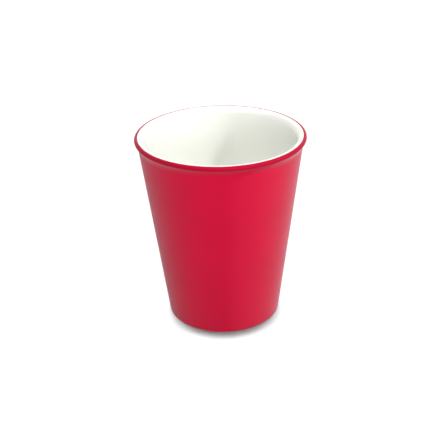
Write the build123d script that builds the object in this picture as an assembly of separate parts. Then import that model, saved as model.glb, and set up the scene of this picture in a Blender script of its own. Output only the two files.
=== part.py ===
from build123d import *

import os
from math import sqrt

# A tumbler with no handles: a white glazed ceramic cup that stands in a red silicone jacket.
# Millimetres, +Z up, origin on the table under the middle of the cup.
# Every piece is a section in the plane of radius and height, turned about the Z axis.

# Overall form
rim_diameter = 80.0  # across the rolled rim, the widest place
cup_height = 92.0  # from the table to the crest of the lip
base_diameter = 55.2  # across the jacket's foot, at the table

# Silicone jacket
bead_radius = 1.25  # section of the rolled rim
bead_overhang = 1.35  # how far the bead stands out past the wall under it
bead_blend_radius = 8.0  # hollow where the bead runs into the wall
jacket_wall = 1.1  # square to the wall's face
jacket_floor = 1.6  # thickness of the turned-in floor under the cup
jacket_foot_radius = 0.6  # outer edge at the table
ledge_depth = 1.5  # step inside the bead, below the crest, that takes the lip
ledge_edge_radius = 0.4  # inner edge of that step
push_out_diameter = 34.0  # opening in the floor, to press the cup out by its base
push_out_edge_radius = 0.4  # both edges of that opening
grip_groove_radius = 0.5  # half-round grooves under the floor
grip_groove_count = 2
grip_groove_spacing = 2.6  # from one groove to the next
grip_groove_inset = 3.4  # from the foot's edge to the outer groove

# Ceramic cup, measured over its glaze
fit_clearance = 0.15  # between the cup and its jacket, on the wall and round the lip
cup_wall = 2.0  # square to the wall's face
cup_floor = 3.2  # thickness of the floor
floor_corner_radius = 6.0  # inside, where the wall runs into the floor
lip_edge_radius = 0.25  # edges of the lip's overhang
foot_ring_width = 6.0  # from the outer wall to the hollow under the base
foot_ring_height = 1.2  # depth of that hollow
foot_ring_radius = 1.5  # outer edge of the foot
hollow_edge_radius = 0.5  # inner edge of the foot, and the corner of the hollow

# Glaze
glaze_thickness = 0.2
glaze_line_height = 3.0  # from the foot up to the edge of the glaze outside

# The most of a short edge that the rounding at one of its ends may take
edge_share = 0.45

# Places that follow from the sizes above
base_radius = base_diameter / 2
rim_radius = rim_diameter / 2
push_out_radius = push_out_diameter / 2
bead_r = rim_radius - bead_radius
bead_z = cup_height - bead_radius
wall_top_z = cup_height - 2 * bead_radius
wall_slope = (rim_radius - bead_overhang - base_radius) / wall_top_z
level_stretch = sqrt(1 + wall_slope**2)  # level width of a wall, for each millimetre of its thickness
ledge_z = cup_height - ledge_depth
cup_skin = jacket_wall + fit_clearance  # depth of the cup's outer face under the jacket's
cup_lining = cup_skin + cup_wall  # depth of the cup's inner face under the jacket's
foot_z = jacket_floor
hollow_z = foot_z + foot_ring_height
floor_z = hollow_z + cup_floor
glaze_line_z = foot_z + glaze_line_height
push_out_round = min(push_out_edge_radius, edge_share * jacket_floor)
hollow_round = min(hollow_edge_radius, edge_share * foot_ring_height)


def wall_r(z, depth=0.0):
    """Radius at height z of the cone that lies depth inside the jacket's outer face."""
    return base_radius + wall_slope * z - depth * level_stretch


def rounded(section, r, z, radius):
    """The section with the corner nearest to (r, z) rounded."""
    return fillet(section.vertices().sort_by_distance((r, z))[0], radius)


def block(r_low, z_low, r_high, z_high):
    """A rectangle of the section plane, between two corners."""
    width = r_high - r_low
    height = z_high - z_low
    return Pos(r_low, z_low) * Rectangle(width, height, align=(Align.MIN, Align.MIN))


def turned(section):
    """The solid that a section sweeps in a full turn about the cup's axis."""
    return revolve(Plane.XZ * section, Axis.Z)


def jacket_section():
    """Straight tapered wall with a round bead on top, hollowed for the cup, with a ring of floor."""
    outside = make_face(
        Polyline(
            (0, 0),
            (base_radius, 0),
            (wall_r(bead_z), bead_z),
            (bead_r, bead_z),
            (bead_r, cup_height),
            (0, cup_height),
            close=True,
        )
    )
    outside += Pos(bead_r, bead_z) * Circle(bead_radius)
    inside = make_face(
        Polyline(
            (0, foot_z),
            (wall_r(foot_z, jacket_wall), foot_z),
            (wall_r(ledge_z, jacket_wall), ledge_z),
            (bead_r, ledge_z),
            (bead_r, cup_height),
            (0, cup_height),
            close=True,
        )
    )
    section = outside - inside - block(0, 0, push_out_radius, foot_z)
    section = rounded(section, base_radius, 0, jacket_foot_radius)
    section = rounded(section, wall_r(wall_top_z), wall_top_z, bead_blend_radius)
    section = rounded(section, wall_r(ledge_z, jacket_wall), ledge_z, ledge_edge_radius)
    section = rounded(section, push_out_radius, 0, push_out_round)
    section = rounded(section, push_out_radius, foot_z, push_out_round)
    for index in range(grip_groove_count):
        groove_r = base_radius - grip_groove_inset - index * grip_groove_spacing
        section -= Pos(groove_r, 0) * Circle(grip_groove_radius)
    return section


def cup_section():
    """The glazed cup: wall, floor and foot ring, and a lip that is one round from crest to inner wall."""
    lip_r = bead_r - fit_clearance
    lip_under_z = ledge_z + fit_clearance
    foot_r = wall_r(foot_z, cup_skin)
    hollow_r = foot_r - foot_ring_width
    lining_floor_r = wall_r(floor_z, cup_lining)
    lining_top_r = wall_r(cup_height, cup_lining)
    crest_r = lip_r - lip_edge_radius
    lip_reach = crest_r - lining_top_r
    lip_end_z = cup_height - lip_reach / level_stretch
    lip_end = (wall_r(lip_end_z, cup_lining), lip_end_z)
    crest = (crest_r, cup_height)
    lip_side = (lip_r, cup_height - lip_edge_radius)
    lip_edge = TangentArc(lip_side, crest, tangent=(0, 1))
    lip = TangentArc(crest, lip_end, tangent=(-1, 0))
    outline = Polyline(
        lip_end,
        (lining_floor_r, floor_z),
        (0, floor_z),
        (0, hollow_z),
        (hollow_r, hollow_z),
        (hollow_r, foot_z),
        (foot_r, foot_z),
        (wall_r(lip_under_z, cup_skin), lip_under_z),
        (lip_r, lip_under_z),
        lip_side,
    )
    section = make_face([*outline.edges(), *lip_edge.edges(), *lip.edges()])
    section = rounded(section, lining_floor_r, floor_z, floor_corner_radius)
    section = rounded(section, hollow_r, hollow_z, hollow_round)
    section = rounded(section, hollow_r, foot_z, hollow_round)
    section = rounded(section, foot_r, foot_z, foot_ring_radius)
    section = rounded(section, lip_r, lip_under_z, lip_edge_radius)
    return section


def glaze_section(cup):
    """The outer skin of the cup's section, without the foot and the hollow under the base."""
    skin = cup - offset(cup, -glaze_thickness)
    wall_middle_r = wall_r(glaze_line_z, cup_skin + cup_wall / 2)
    skin -= block(0, 0, wall_middle_r, floor_z - glaze_thickness)
    skin -= block(wall_middle_r, 0, rim_radius, glaze_line_z)
    return skin


cup = cup_section()
glaze = glaze_section(cup)

os.makedirs("parts", exist_ok=True)
export_step(turned(jacket_section()), "parts/silicone_jacket.step")
export_step(turned(cup - glaze), "parts/ceramic_body.step")
export_step(turned(glaze), "parts/glaze_coat.step")
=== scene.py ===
# %% [markdown]
# # A two-tone tumbler: a glazed cup in a silicone jacket
# The object is a drinking tumbler with no handle. A white glazed ceramic cup stands in a red silicone
# jacket, and the two colours meet on the crest of the lip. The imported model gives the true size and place
# of each piece, so this lesson only dresses it: fine turned surfaces, three finishes, studio light and a
# camera.

# %% Load the frame
import math

import bpy
import numpy as np
from mathutils import Matrix, Vector


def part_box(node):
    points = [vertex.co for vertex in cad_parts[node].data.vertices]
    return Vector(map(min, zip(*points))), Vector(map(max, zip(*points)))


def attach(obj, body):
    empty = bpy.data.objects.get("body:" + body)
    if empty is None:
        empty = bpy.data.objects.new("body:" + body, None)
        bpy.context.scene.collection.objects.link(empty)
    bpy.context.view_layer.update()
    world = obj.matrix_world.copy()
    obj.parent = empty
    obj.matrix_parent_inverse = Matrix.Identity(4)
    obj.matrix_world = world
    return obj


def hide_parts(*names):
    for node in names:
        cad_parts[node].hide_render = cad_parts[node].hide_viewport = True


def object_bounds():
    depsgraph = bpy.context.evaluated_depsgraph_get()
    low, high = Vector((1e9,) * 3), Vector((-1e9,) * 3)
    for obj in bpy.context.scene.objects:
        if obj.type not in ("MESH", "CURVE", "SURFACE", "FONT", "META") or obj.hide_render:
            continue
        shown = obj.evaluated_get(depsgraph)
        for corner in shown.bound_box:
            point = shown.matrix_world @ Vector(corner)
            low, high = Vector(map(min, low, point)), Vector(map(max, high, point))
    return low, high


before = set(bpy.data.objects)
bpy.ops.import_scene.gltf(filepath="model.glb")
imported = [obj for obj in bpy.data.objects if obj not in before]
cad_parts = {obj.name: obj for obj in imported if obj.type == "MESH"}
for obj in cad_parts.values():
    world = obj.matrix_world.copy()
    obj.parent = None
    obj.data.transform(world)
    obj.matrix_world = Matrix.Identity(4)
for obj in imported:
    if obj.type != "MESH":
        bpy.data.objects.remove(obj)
cad_low, cad_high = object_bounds()
print("size in mm:", [round(1000 * side, 1) for side in cad_high - cad_low])

# %% [markdown]
# ## Sizes
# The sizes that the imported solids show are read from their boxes: how wide the rim is, how high the lip
# stands, where the glaze ends. The small ones that no box shows, such as the section of the rolled bead,
# are named here in metres. Everything else is worked out from these.

# %% Sizes in metres
MM = 0.001
rim_radius = cad_high.x
lip_height = cad_high.z
lip_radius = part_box("glaze_coat")[1].x
glaze_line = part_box("glaze_coat")[0].z
jacket_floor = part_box("ceramic_body")[0].z
glaze_thickness = lip_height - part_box("ceramic_body")[1].z
base_radius = 27.6 * MM
bead_radius = 1.25 * MM
bead_overhang = 1.35 * MM
jacket_wall = 1.1 * MM
ledge_depth = 1.5 * MM
push_out_radius = 17.0 * MM
cup_wall = 2.0 * MM
cup_floor = 3.2 * MM
foot_ring_width = 6.0 * MM
foot_ring_height = 1.2 * MM

bead_r = rim_radius - bead_radius
bead_z = lip_height - bead_radius
fit_clearance = bead_r - lip_radius
wall_top = np.array((rim_radius - bead_overhang, lip_height - 2 * bead_radius))
wall_slope = (wall_top[0] - base_radius) / wall_top[1]
level_stretch = math.hypot(1, wall_slope)
cup_skin = jacket_wall + fit_clearance
cup_lining = cup_skin + cup_wall
ledge_z = lip_height - ledge_depth
hollow_z = jacket_floor + foot_ring_height
floor_z = hollow_z + cup_floor


def wall_r(z, depth=0.0):
    """Radius at height z of the cone that lies depth inside the jacket's outer face."""
    return base_radius + wall_slope * z - depth * level_stretch


print("clearance in mm:", round(fit_clearance / MM, 3), "glaze in mm:", round(glaze_thickness / MM, 3))

# %% [markdown]
# ## Turned surfaces
# Every piece of this tumbler is round, so every piece is a profile carried round the Z axis. A Screw
# modifier could do that too, but then the seam and the two poles would need care afterwards. Working the
# grid out with numpy keeps the seam closed from the start, and lets a piece be a little uneven round the
# turn.

# %% Profile helpers
ARC_POINTS = 13
FINE_ARC_POINTS = 41
LONGEST_STEP = 1.5 * MM
SAME_PLACE = 1e-8


def arc(centre, radius, start, end, count=ARC_POINTS):
    """Points centre + radius * (cos a, sin a), with the angle a going evenly from start to end degrees."""
    angle = np.radians(np.linspace(start, end, count))
    return np.asarray(centre) + radius * np.column_stack((np.cos(angle), np.sin(angle)))


def corner(before, at, after, radius, count=ARC_POINTS):
    """The corner at, between two straight runs, rounded by the circle of that radius that touches both.
    Its points swing from one touching point to the other about the circle's centre."""
    before, at, after = (np.asarray(point, float) for point in (before, at, after))
    back = (before - at) / np.linalg.norm(before - at)
    ahead = (after - at) / np.linalg.norm(after - at)
    half = 0.5 * np.arccos(np.clip(back @ ahead, -1, 1))
    middle = (back + ahead) / np.linalg.norm(back + ahead)
    centre = at + middle * radius / np.sin(half)
    first = at + back * radius / np.tan(half) - centre
    last = at + ahead * radius / np.tan(half) - centre
    swing = np.pi - 2 * half
    share = np.linspace(0, 1, count)[:, None]
    return centre + (np.sin((1 - share) * swing) * first + np.sin(share * swing) * last) / np.sin(swing)


def evenly(path, closed=False):
    """The same path with more points on its straight runs, so that no step is longer than LONGEST_STEP."""
    loop = np.vstack((path, path[:1])) if closed else path
    along = np.concatenate(([0], np.cumsum(np.linalg.norm(np.diff(loop, axis=0), axis=1))))
    marks = np.unique(np.concatenate((along, np.arange(0, along[-1], LONGEST_STEP))))
    marks = marks[np.concatenate(([True], np.diff(marks) > SAME_PLACE))]
    filled = np.column_stack([np.interp(marks, along, loop[:, axis]) for axis in (0, 1)])
    return filled[:-1] if closed else filled


def sunk(path, depth):
    """The path moved square to itself, by depth into the solid, which lies on its left."""
    run = np.gradient(path, axis=0)
    run /= np.linalg.norm(run, axis=1)[:, None]
    return path + depth * np.column_stack((-run[:, 1], run[:, 0]))


print("an arc has", ARC_POINTS, "points, a fine one", FINE_ARC_POINTS)

# %% Turning a profile into a mesh
TURN_STEPS = 256
turn_angle = 2 * np.pi * np.arange(TURN_STEPS) / TURN_STEPS


def turned(name, radius, height, closed):
    """The surface (r cos a, r sin a, z), where r and z are grids over the profile and the angle a of a turn.
    A closed profile joins its last row to its first. An open one starts and ends on the axis, in a point."""
    points = np.stack((radius * np.cos(turn_angle), radius * np.sin(turn_angle), height), axis=-1)
    rings, poles = (points, points[:0, 0]) if closed else (points[1:-1], points[[0, -1], 0])
    rows, steps = rings.shape[:2]
    here = np.arange(rows * steps).reshape(rows, steps)
    ahead = np.roll(here, -1, axis=1)
    quads = np.stack((here, ahead, np.roll(ahead, -1, axis=0), np.roll(here, -1, axis=0)), axis=-1)
    faces = quads[: rows if closed else rows - 1].reshape(-1, 4).tolist()
    if not closed:
        pole = np.full(steps, rows * steps)
        faces += np.column_stack((pole, ahead[0], here[0])).tolist()
        faces += np.column_stack((pole + 1, here[-1], ahead[-1])).tolist()
    mesh = bpy.data.meshes.new(name)
    mesh.from_pydata(np.vstack((rings.reshape(-1, 3), poles)).tolist(), [], faces)
    mesh.shade_smooth()
    piece = bpy.data.objects.new(name, mesh)
    bpy.context.scene.collection.objects.link(piece)
    return piece


def spun(profile):
    """A profile as two grids, the same all the way round: radius and height, one row for each point."""
    return [np.repeat(column[:, None], TURN_STEPS, axis=1) for column in profile.T]


print("one turn has", TURN_STEPS, "steps")

# %% [markdown]
# ## The silicone jacket
# The jacket is one soft moulding: a straight tapered wall, a rolled bead at the top and a ring of floor
# that the cup stands on. A hollow blend runs from the wall into the bead. A moulding has no truly sharp
# edge, so even the crisp ones get a rounding of a tenth of a millimetre, which also catches a thin light
# as real edges do.

# %% Jacket profile
CRISP = 0.1 * MM
HOLLOW_POINTS = 17
GROOVE_POINTS = 17
bead_blend = 8.0 * MM
jacket_foot_round = 0.6 * MM
ledge_round = 0.4 * MM
push_out_round = 0.4 * MM
jacket_corner_round = 0.5 * MM
groove_half_width = 0.5 * MM
groove_depth = 0.5 * MM
groove_inset = 3.4 * MM
groove_spacing = 2.6 * MM
groove_count = 2


def grip_groove(middle_r):
    """One groove under the floor, a wave of a cosine: depth * (1 + cos(pi x)) / 2, with x from -1 to 1."""
    across = np.linspace(-1, 1, GROOVE_POINTS)
    rise = groove_depth * 0.5 * (1 + np.cos(np.pi * across))
    return np.column_stack((middle_r + groove_half_width * across, rise))


def bead_and_blend():
    """The hollow under the bead and the bead itself, as two arcs that touch.
    The hollow's centre lies one blend radius off the wall, and one bead plus one blend radius off the
    bead's centre."""
    along = np.array((wall_slope, 1.0)) / level_stretch
    outward = np.array((1.0, -wall_slope)) / level_stretch
    bead_centre = np.array((bead_r, bead_z))
    start = wall_top + bead_blend * outward - bead_centre
    reach = bead_radius + bead_blend
    back = -(start @ along) - math.sqrt((start @ along) ** 2 - start @ start + reach**2)
    hollow_centre = bead_centre + start + back * along
    touch = math.degrees(math.atan2(*(hollow_centre - bead_centre)[::-1]))
    wall_side = 180 + math.degrees(math.atan2(outward[1], outward[0]))
    hollow = arc(hollow_centre, bead_blend, wall_side, 180 + touch, HOLLOW_POINTS)
    top = math.degrees(math.acos(CRISP / bead_radius))
    bead = arc(bead_centre, bead_radius, touch, top, FINE_ARC_POINTS)
    return hollow, bead[1:]


def jacket_profile():
    """The jacket's section, walked once round with the silicone on the left: under the floor, up the outer
    wall, over the bead, down inside to the floor and back to the push-out hole."""
    hole_under, hole_top = (push_out_radius, 0.0), (push_out_radius, jacket_floor)
    foot = (base_radius, 0.0)
    crest = (bead_r, lip_height)
    step = (bead_r, ledge_z)
    ledge = (wall_r(ledge_z, jacket_wall), ledge_z)
    inner_foot = (wall_r(jacket_floor, jacket_wall), jacket_floor)
    outer_groove = base_radius - groove_inset
    grooves = [grip_groove(outer_groove - i * groove_spacing) for i in range(groove_count)]
    return np.vstack((
        corner(hole_top, hole_under, foot, push_out_round),
        *grooves[::-1],
        corner(hole_under, foot, wall_top, jacket_foot_round),
        *bead_and_blend(),
        corner((rim_radius, lip_height), crest, step, CRISP),
        corner(crest, step, ledge, CRISP),
        corner(step, ledge, inner_foot, ledge_round),
        corner(ledge, inner_foot, hole_top, jacket_corner_round),
        corner(inner_foot, hole_top, hole_under, push_out_round),
    ))


jacket = turned("silicone_jacket_moulding", *spun(evenly(jacket_profile(), closed=True)), closed=True)
print(jacket.name, "has", len(jacket.data.polygons), "faces")

# %% [markdown]
# ## The glaze
# The glaze is a glassy skin over the inside, the lip and the outside of the cup. It ends above the foot in
# a soft roll, where the wet glaze was wiped away by hand before firing, so that line wanders a little. The
# skin is closed: its outer side is the cup's visible face, and its hidden side is the same path sunk by the
# thickness of the glaze. Nobody sees the hidden side, so it keeps only every third row.

# %% Glaze profile
EDGE_POINTS = 9
HIDDEN_ROW_STEP = 3
lip_edge_round = 0.25 * MM
floor_round = 6.0 * MM
glaze_line_reach = 3.0 * MM
WAVES = ((2, 0.12 * MM, 0.0), (5, 0.072 * MM, 1.0), (11, 0.036 * MM, 2.0))


def glazed_face():
    """The visible face of the glaze, from the glaze line up the outer wall, over the lip and down to the
    middle of the floor. The lip is one round: it leaves the crest level and runs into the inner wall."""
    under_z = ledge_z + fit_clearance
    line = (wall_r(glaze_line, cup_skin), glaze_line)
    under = (wall_r(under_z, cup_skin), under_z)
    lip_under, lip_top = (lip_radius, under_z), (lip_radius, lip_height)
    lining_top = (wall_r(lip_height, cup_lining), lip_height)
    lining_floor = (wall_r(floor_z, cup_lining), floor_z)
    lip_reach = lip_radius - lip_edge_round - lining_top[0]
    lip_round = lip_reach * math.tan(math.pi / 4 + math.atan(wall_slope) / 2)
    return np.vstack((
        line,
        corner(line, under, lip_under, lip_edge_round),
        corner(under, lip_under, lip_top, lip_edge_round),
        corner(lip_under, lip_top, lining_top, lip_edge_round),
        corner(lip_top, lining_top, lining_floor, lip_round, FINE_ARC_POINTS)[1:],
        corner(lining_top, lining_floor, (0.0, floor_z), floor_round, FINE_ARC_POINTS),
        (0.0, floor_z),
    ))


def glaze_edge(face):
    """The rolled end of the glaze: a half circle from its hidden side to its face, bulging downwards."""
    middle = (face[0] + sunk(face, glaze_thickness)[0]) / 2
    return arc(middle, glaze_thickness / 2, 180, 360, EDGE_POINTS)[1:-1]


def wandering(radius, height):
    """The grids with the glaze line's rise and fall added: a sum of sines of the angle, fading out up the
    outer wall. Each wave has its count round the turn, its height in metres and its start in radians."""
    sway = sum(size * np.sin(count * turn_angle + start) for count, size, start in WAVES)
    fade = np.clip(1 - (height - glaze_line) / glaze_line_reach, 0, 1) ** 2
    outside = radius > wall_r(glaze_line, cup_skin + cup_wall / 2)
    return radius, height + fade * outside * sway


face = evenly(glazed_face())
hidden_side = sunk(face, glaze_thickness)[::-HIDDEN_ROW_STEP]
glaze_profile = np.vstack((hidden_side, glaze_edge(face), face))
glaze = turned("glaze_coat_skin", *wandering(*spun(glaze_profile)), closed=False)
print(glaze.name, "has", len(glaze.data.polygons), "faces")

# %% [markdown]
# ## The clay body
# Under the glaze is the fired clay. It shows only at the foot: the ring that the cup stands on, the hollow
# under the base and a narrow band of bare wall. The covered part is modelled too, just under the glaze,
# because the body is a piece of its own.

# %% Clay profile
foot_round = 1.5 * MM
hollow_round = 0.5 * MM
bare_depth = 0.1 * MM
under_glaze = 0.02 * MM


def clay_profile():
    """The clay's section: the hollow under the base, the foot ring, the bare wall, then the whole glazed
    face sunk a little deeper than the glaze."""
    foot_r = wall_r(jacket_floor, cup_skin + bare_depth)
    hollow_r = wall_r(jacket_floor, cup_skin) - foot_ring_width
    middle, hollow = (0.0, hollow_z), (hollow_r, hollow_z)
    inner_foot, outer_foot = (hollow_r, jacket_floor), (foot_r, jacket_floor)
    bare_top = (wall_r(glaze_line, cup_skin + bare_depth), glaze_line)
    return np.vstack((
        middle,
        corner(middle, hollow, inner_foot, hollow_round),
        corner(hollow, inner_foot, outer_foot, hollow_round),
        corner(inner_foot, outer_foot, bare_top, foot_round),
        bare_top,
        sunk(glazed_face(), glaze_thickness + under_glaze)[1:],
    ))


clay = turned("ceramic_body_clay", *spun(evenly(clay_profile())), closed=False)
print(clay.name, "has", len(clay.data.polygons), "faces")

# %% [markdown]
# ## Finishes
# Each finish is a small node tree on Object coordinates, so its grain stays the same size on every piece
# and holds still when the piece moves. Three kinds of surface meet in this tumbler: soft silicone that is
# matt from in front and hazy at a glance, glassy glaze, and dry fired clay.

# %% Material helpers
def new_material(name):
    """A node material with a Principled shader wired to its output."""
    material = bpy.data.materials.new(name)
    material.use_nodes = True
    shader = material.node_tree.nodes["Principled BSDF"]
    return material, material.node_tree, shader


def grain(tree, scale, detail):
    """A noise in Object coordinates, with scale in repeats a metre. Returns its value from 0 to 1."""
    place = tree.nodes.new("ShaderNodeTexCoord")
    noise = tree.nodes.new("ShaderNodeTexNoise")
    noise.inputs["Scale"].default_value = scale
    noise.inputs["Detail"].default_value = detail
    tree.links.new(place.outputs["Object"], noise.inputs["Vector"])
    return noise.outputs["Fac"]


def spread(tree, value, low, high, start=0.3, end=0.7):
    """The value stretched from the band start to end on to low to high."""
    span = tree.nodes.new("ShaderNodeMapRange")
    span.inputs["From Min"].default_value = start
    span.inputs["From Max"].default_value = end
    span.inputs["To Min"].default_value = low
    span.inputs["To Max"].default_value = high
    tree.links.new(value, span.inputs["Value"])
    return span.outputs["Result"]


def two_tone(tree, value, first, second):
    """A colour between first and second, by the value."""
    mix = tree.nodes.new("ShaderNodeMix")
    mix.data_type = "RGBA"
    mix.inputs["A"].default_value = (*first, 1)
    mix.inputs["B"].default_value = (*second, 1)
    tree.links.new(value, mix.inputs["Factor"])
    return mix.outputs["Result"]


def times(tree, first, second):
    """The product of two values."""
    product = tree.nodes.new("ShaderNodeMath")
    product.operation = "MULTIPLY"
    tree.links.new(first, product.inputs[0])
    tree.links.new(second, product.inputs[1])
    return product.outputs[0]


def height_on_piece(tree):
    """The height in metres, in Object coordinates."""
    place = tree.nodes.new("ShaderNodeTexCoord")
    split = tree.nodes.new("ShaderNodeSeparateXYZ")
    tree.links.new(place.outputs["Object"], split.inputs[0])
    return split.outputs["Z"]


def bumped(tree, shader, value, height, strength):
    """Wires a value to the shader's normal as a bump of that height in metres."""
    bump = tree.nodes.new("ShaderNodeBump")
    bump.inputs["Distance"].default_value = height
    bump.inputs["Strength"].default_value = strength
    tree.links.new(value, bump.inputs["Height"])
    tree.links.new(bump.outputs["Normal"], shader.inputs["Normal"])


print("helpers: grain, spread, two_tone, times, height_on_piece, bumped")

# %% [markdown]
# The red is even over the wall. The bead is painted a deeper red, a painted shade that stands in for the
# weaker light on its upper face. At a low angle a matt silicone skin shows a pale haze, which a wide gloss
# would spread over the whole wall. A sheen layer keeps it near the edges. The bead shows less haze than the
# wall. A model file holds one number for a finish's sheen, so the bead gets a finish of its own: the same
# red with a weaker sheen.

# %% Red silicone
BASE_RED = (0.68, 0.0034, 0.043)
# The deeper red gives the wall its random cloudiness, and on the bead, where the mix falls to a small share,
# it is painted shade.
SHADED_BEAD_AND_CLOUD_RED = (0.40, 0.0014, 0.024)
BEAD_UNSHADED_SHARE = 0.1
WALL_SHEEN = 0.45
BEAD_SHEEN = 0.2
SHEEN_ROUGHNESS = 0.43
SHEEN_TINT = (1, 0.93, 1, 1)
SILICONE_IOR = 1.41
SILICONE_SPECULAR = 0.06


def red_silicone(name, sheen):
    """Satin moulded silicone: a saturated red with a faint cloudiness, a fine matt texture and a soft sheen.
    The bead is painted a deeper red than the wall, as painted shade for the weaker light on its upper face."""
    material, tree, shader = new_material(name)
    cloud = spread(tree, grain(tree, scale=45, detail=3), low=0.82, high=1)
    height = height_on_piece(tree)
    # Painted shade on the bead: this mix is 1 on the wall and small on the bead, which pulls the bead to the
    # deeper red.
    unshaded_share = spread(tree, height, low=1, high=BEAD_UNSHADED_SHARE, start=wall_top[1], end=bead_z)
    colour = two_tone(tree, times(tree, cloud, unshaded_share), SHADED_BEAD_AND_CLOUD_RED, BASE_RED)
    roughness = spread(tree, grain(tree, scale=160, detail=4), low=0.50, high=0.58)
    tree.links.new(colour, shader.inputs["Base Color"])
    tree.links.new(roughness, shader.inputs["Roughness"])
    shader.inputs["IOR"].default_value = SILICONE_IOR
    shader.inputs["Specular IOR Level"].default_value = SILICONE_SPECULAR
    shader.inputs["Sheen Weight"].default_value = sheen
    shader.inputs["Sheen Roughness"].default_value = SHEEN_ROUGHNESS
    shader.inputs["Sheen Tint"].default_value = SHEEN_TINT
    bumped(tree, shader, grain(tree, scale=2600, detail=2), height=0.02 * MM, strength=0.25)
    return material


wall_finish = red_silicone("red_silicone", WALL_SHEEN)
bead_finish = red_silicone("red_silicone_bead", BEAD_SHEEN)
print("finishes:", wall_finish.name, bead_finish.name)

# %% [markdown]
# The glaze is a warm white glass. Its gloss is not a perfect mirror, because melted glaze keeps a slow
# ripple, and its colour deepens where light bounces from wall to wall inside the cup.

# %% White glaze
GLAZE_DEEP = (0.88, 0.885, 0.83)
GLAZE_PALE = (0.90, 0.905, 0.85)
GLAZE_IOR = 1.52


def white_glaze():
    """Glossy white glaze, a little warm, with the slow ripple of melted glass."""
    material, tree, shader = new_material("white_glaze")
    cloud = spread(tree, grain(tree, scale=30, detail=2), low=0, high=1)
    roughness = spread(tree, grain(tree, scale=90, detail=3), low=0.10, high=0.16)
    tree.links.new(two_tone(tree, cloud, GLAZE_DEEP, GLAZE_PALE), shader.inputs["Base Color"])
    tree.links.new(roughness, shader.inputs["Roughness"])
    shader.inputs["IOR"].default_value = GLAZE_IOR
    bumped(tree, shader, grain(tree, scale=220, detail=1), height=0.03 * MM, strength=0.1)
    return material


glaze_finish = white_glaze()
print("finish:", glaze_finish.name)

# %% [markdown]
# Where the glaze was wiped off, the clay is bare: pale, dry and finely speckled.

# %% Fired clay
CLAY_PALE = (0.74, 0.70, 0.61)
CLAY_SPECK = (0.56, 0.50, 0.41)


def fired_clay():
    """Bare biscuit at the foot: pale, dry and grainy, with a few darker specks."""
    material, tree, shader = new_material("fired_clay")
    speck = spread(tree, grain(tree, scale=1400, detail=3), low=0, high=1, start=0.58, end=0.74)
    roughness = spread(tree, grain(tree, scale=700, detail=4), low=0.78, high=0.92)
    tree.links.new(two_tone(tree, speck, CLAY_PALE, CLAY_SPECK), shader.inputs["Base Color"])
    tree.links.new(roughness, shader.inputs["Roughness"])
    bumped(tree, shader, grain(tree, scale=1900, detail=4), height=0.05 * MM, strength=0.5)
    return material


clay_finish = fired_clay()
print("finish:", clay_finish.name)

# %% [markdown]
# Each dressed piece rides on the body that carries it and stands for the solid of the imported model. The
# jacket takes two finishes: its wall's, and from the top of the hollow upwards the bead's.

# %% Dress the pieces
def dress(piece, material, body, node):
    """Gives a piece its finish, lets it ride on its body and stand for its CAD node."""
    piece.data.materials.append(material)
    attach(piece, body)
    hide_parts(node)


def dress_top(piece, material, border):
    """Gives a second finish to the faces whose middle lies above the height border."""
    piece.data.materials.append(material)
    middles = np.empty(3 * len(piece.data.polygons))
    piece.data.polygons.foreach_get("center", middles)
    piece.data.polygons.foreach_set("material_index", (middles[2::3] > border).astype(np.int32))


dress(jacket, wall_finish, "jacket", "silicone_jacket")
hollow_top = bead_and_blend()[0][-1, 1]
dress_top(jacket, bead_finish, hollow_top)
dress(glaze, glaze_finish, "cup", "glaze_coat")
dress(clay, clay_finish, "cup", "ceramic_body")
print("dressed:", jacket.name, glaze.name, clay.name)

# %% [markdown]
# ## Camera
# The photograph was taken from a little above, with a short telephoto. The camera looks at a point on the
# cup's axis, and a very small roll and shift put the cup where it stands in the picture.

# %% Camera
picture_size = 440
sensor_width_mm = 36.0
focal_pixels = 850.7
camera_distance = 416.4 * MM
camera_elevation = math.radians(27.28)
camera_roll = math.radians(-1.38)
aim_height = 44.0 * MM
aim_pixel = (222.5, 225.45)


def photo_camera():
    """A camera at camera_distance from the aim point, raised by its elevation and rolled about its axis."""
    back = Vector((0, -math.cos(camera_elevation), math.sin(camera_elevation)))
    level_right = Vector((1, 0, 0))
    level_up = back.cross(level_right)
    right = math.cos(camera_roll) * level_right + math.sin(camera_roll) * level_up
    up = back.cross(right)
    lens = bpy.data.cameras.new("photo_camera")
    lens.sensor_width = sensor_width_mm
    lens.lens = focal_pixels / picture_size * sensor_width_mm
    lens.shift_x = -(aim_pixel[0] - picture_size / 2) / picture_size
    lens.shift_y = (aim_pixel[1] - picture_size / 2) / picture_size
    camera = bpy.data.objects.new("photo_camera", lens)
    turn = Matrix((right, up, back)).transposed().to_4x4()
    place = Vector((0, 0, aim_height)) + camera_distance * back
    camera.matrix_world = Matrix.Translation(place) @ turn
    bpy.context.scene.collection.objects.link(camera)
    bpy.context.scene.camera = camera
    return camera


camera = photo_camera()
camera_place = [round(x, 4) for x in camera.matrix_world.translation]
print("camera at", camera_place, "lens", round(camera.data.lens, 1))

# %% [markdown]
# ## Floor, light and background
# The cup stands on plain white. A real white sweep turns grey where little light falls on it, so the floor
# has a lift of its own that only the camera and reflections see: it brings the floor to white and sheds no
# light on the cup. Near the foot the lift dies away, so the dark line of contact stays, and in front of the
# cup most of all, as in the photograph. The ambient occlusion node measures how open the sky is over each
# place on the floor. Its normal leans back past the cup, and that is why places in front of the cup count
# as the most hidden.

# %% Floor
FLOOR_HALF_WIDTH = 3.0
FLOOR_ALBEDO = 0.13
FLOOR_LIFT = 0.97
CONTACT_REACH = 12 * MM
CONTACT_TOWARDS = (-0.03, 0.75, 0.65)
CONTACT_OPEN = (0.36, 0.60)
CONTACT_LIFT = (0.08, 1.0)


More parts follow.
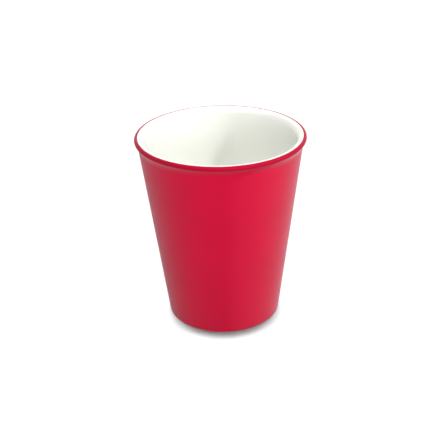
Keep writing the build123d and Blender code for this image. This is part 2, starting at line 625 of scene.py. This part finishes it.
def seen_directly(tree):
    """1 where the camera, a reflection or a view through glass sees the surface, and 0 where it only sheds
    light: the sum of three kinds of ray, no more than 1."""
    path = tree.nodes.new("ShaderNodeLightPath")
    total = path.outputs["Is Camera Ray"]
    for other in ("Is Glossy Ray", "Is Transmission Ray"):
        add = tree.nodes.new("ShaderNodeMath")
        add.operation = "ADD"
        add.use_clamp = True
        tree.links.new(total, add.inputs[0])
        tree.links.new(path.outputs[other], add.inputs[1])
        total = add.outputs[0]
    return total


def white_floor():
    """A pale matt floor that takes the cup's shadow, with a lift that brings it to white where it is seen.
    The lift dies away within CONTACT_REACH of the cup, most on the side from which the cup hides the
    direction CONTACT_TOWARDS, so the shadow under the foot stays."""
    material, tree, shader = new_material("white_floor")
    shader.inputs["Base Color"].default_value = (FLOOR_ALBEDO, FLOOR_ALBEDO, FLOOR_ALBEDO, 1)
    shader.inputs["Roughness"].default_value = 1.0
    shader.inputs["Specular IOR Level"].default_value = 0.0
    shader.inputs["Emission Color"].default_value = (1, 1, 1, 1)
    towards = tree.nodes.new("ShaderNodeCombineXYZ")
    for socket, part in zip(towards.inputs, CONTACT_TOWARDS):
        socket.default_value = part
    open_share = tree.nodes.new("ShaderNodeAmbientOcclusion")
    open_share.inputs["Distance"].default_value = CONTACT_REACH
    tree.links.new(towards.outputs[0], open_share.inputs["Normal"])
    clear = spread(tree, open_share.outputs["AO"], *CONTACT_LIFT, *CONTACT_OPEN)
    seen = spread(tree, seen_directly(tree), low=0, high=FLOOR_LIFT, start=0, end=1)
    tree.links.new(times(tree, clear, seen), shader.inputs["Emission Strength"])
    return material


floor_mesh = bpy.data.meshes.new("floor")
floor_corners = FLOOR_HALF_WIDTH * np.array(((-1, -1, 0), (1, -1, 0), (1, 1, 0), (-1, 1, 0)))
floor_mesh.from_pydata(floor_corners.tolist(), [], [(0, 1, 2, 3)])
floor_mesh.materials.append(white_floor())
floor = bpy.data.objects.new("floor", floor_mesh)
bpy.context.scene.collection.objects.link(floor)
print("floor", 2 * FLOOR_HALF_WIDTH, "m wide")

# %% [markdown]
# The light follows what the photograph shows. The inside is bright on the left and steps down to a soft
# grey along an upright edge, so a small lamp at the right shines in over the rim and leaves half of the
# inside in its own shade. The red wall is even, brightest right of the middle and darker towards the foot,
# so the main softbox stands low and near, a little to the right. A weak low softbox at the left keeps that
# side from going dull. Two higher ones, in front and at the left, shine in over the rim on to the far wall
# of the inside. Two weak ones, over the cup and behind it, fill the rest with light that bounces round in
# the white glaze. Light from straight above is kept weak because it falls square on the lip: an overlit lip
# drowns the thin red line of the far rim.

# %% Sky and softboxes
def white_sky(light, white):
    """A white world: its brightness is white where it is seen, and light where it only lights the scene."""
    world = bpy.data.worlds.new("white_sky")
    world.use_nodes = True
    tree = world.node_tree
    sky = tree.nodes["Background"]
    sky.inputs["Color"].default_value = (1, 1, 1, 1)
    strength = spread(tree, seen_directly(tree), low=light, high=white, start=0, end=1)
    tree.links.new(strength, sky.inputs["Strength"])
    bpy.context.scene.world = world


def softbox(name, azimuth, elevation, distance, size, watts):
    """An area light that faces the cup, azimuth degrees round from the camera's side towards the right.
    Its size is its width and height in metres."""
    a, e = math.radians(azimuth), math.radians(elevation)
    back = Vector((math.sin(a) * math.cos(e), -math.cos(a) * math.cos(e), math.sin(e)))
    lamp = bpy.data.lights.new(name, "AREA")
    lamp.shape = "RECTANGLE"
    lamp.size, lamp.size_y = size
    lamp.energy = watts
    holder = bpy.data.objects.new(name, lamp)
    holder.location = Vector((0, 0, lip_height / 2)) + distance * back
    holder.rotation_mode = "QUATERNION"
    holder.rotation_quaternion = back.to_track_quat("Z", "Y")
    bpy.context.scene.collection.objects.link(holder)


white_sky(light=0.0, white=1.0)
softbox("side_lamp", azimuth=82, elevation=43, distance=1.0, size=(0.06, 0.06), watts=6.35)
softbox("back_softbox", azimuth=190, elevation=52, distance=0.5, size=(0.3, 0.25), watts=1.05)
softbox("top_softbox", azimuth=0, elevation=88, distance=0.5, size=(0.3, 0.3), watts=0.45)
softbox("high_front_softbox", azimuth=0, elevation=40, distance=0.5, size=(0.3, 0.2), watts=0.72)
softbox("high_left_softbox", azimuth=-60, elevation=40, distance=0.5, size=(0.3, 0.2), watts=0.35)
softbox("front_softbox", azimuth=18, elevation=14, distance=0.36, size=(0.3, 0.1), watts=0.73)
softbox("left_softbox", azimuth=-75, elevation=5, distance=0.5, size=(0.3, 0.08), watts=0.47)
bpy.context.scene.view_settings.view_transform = "Standard"
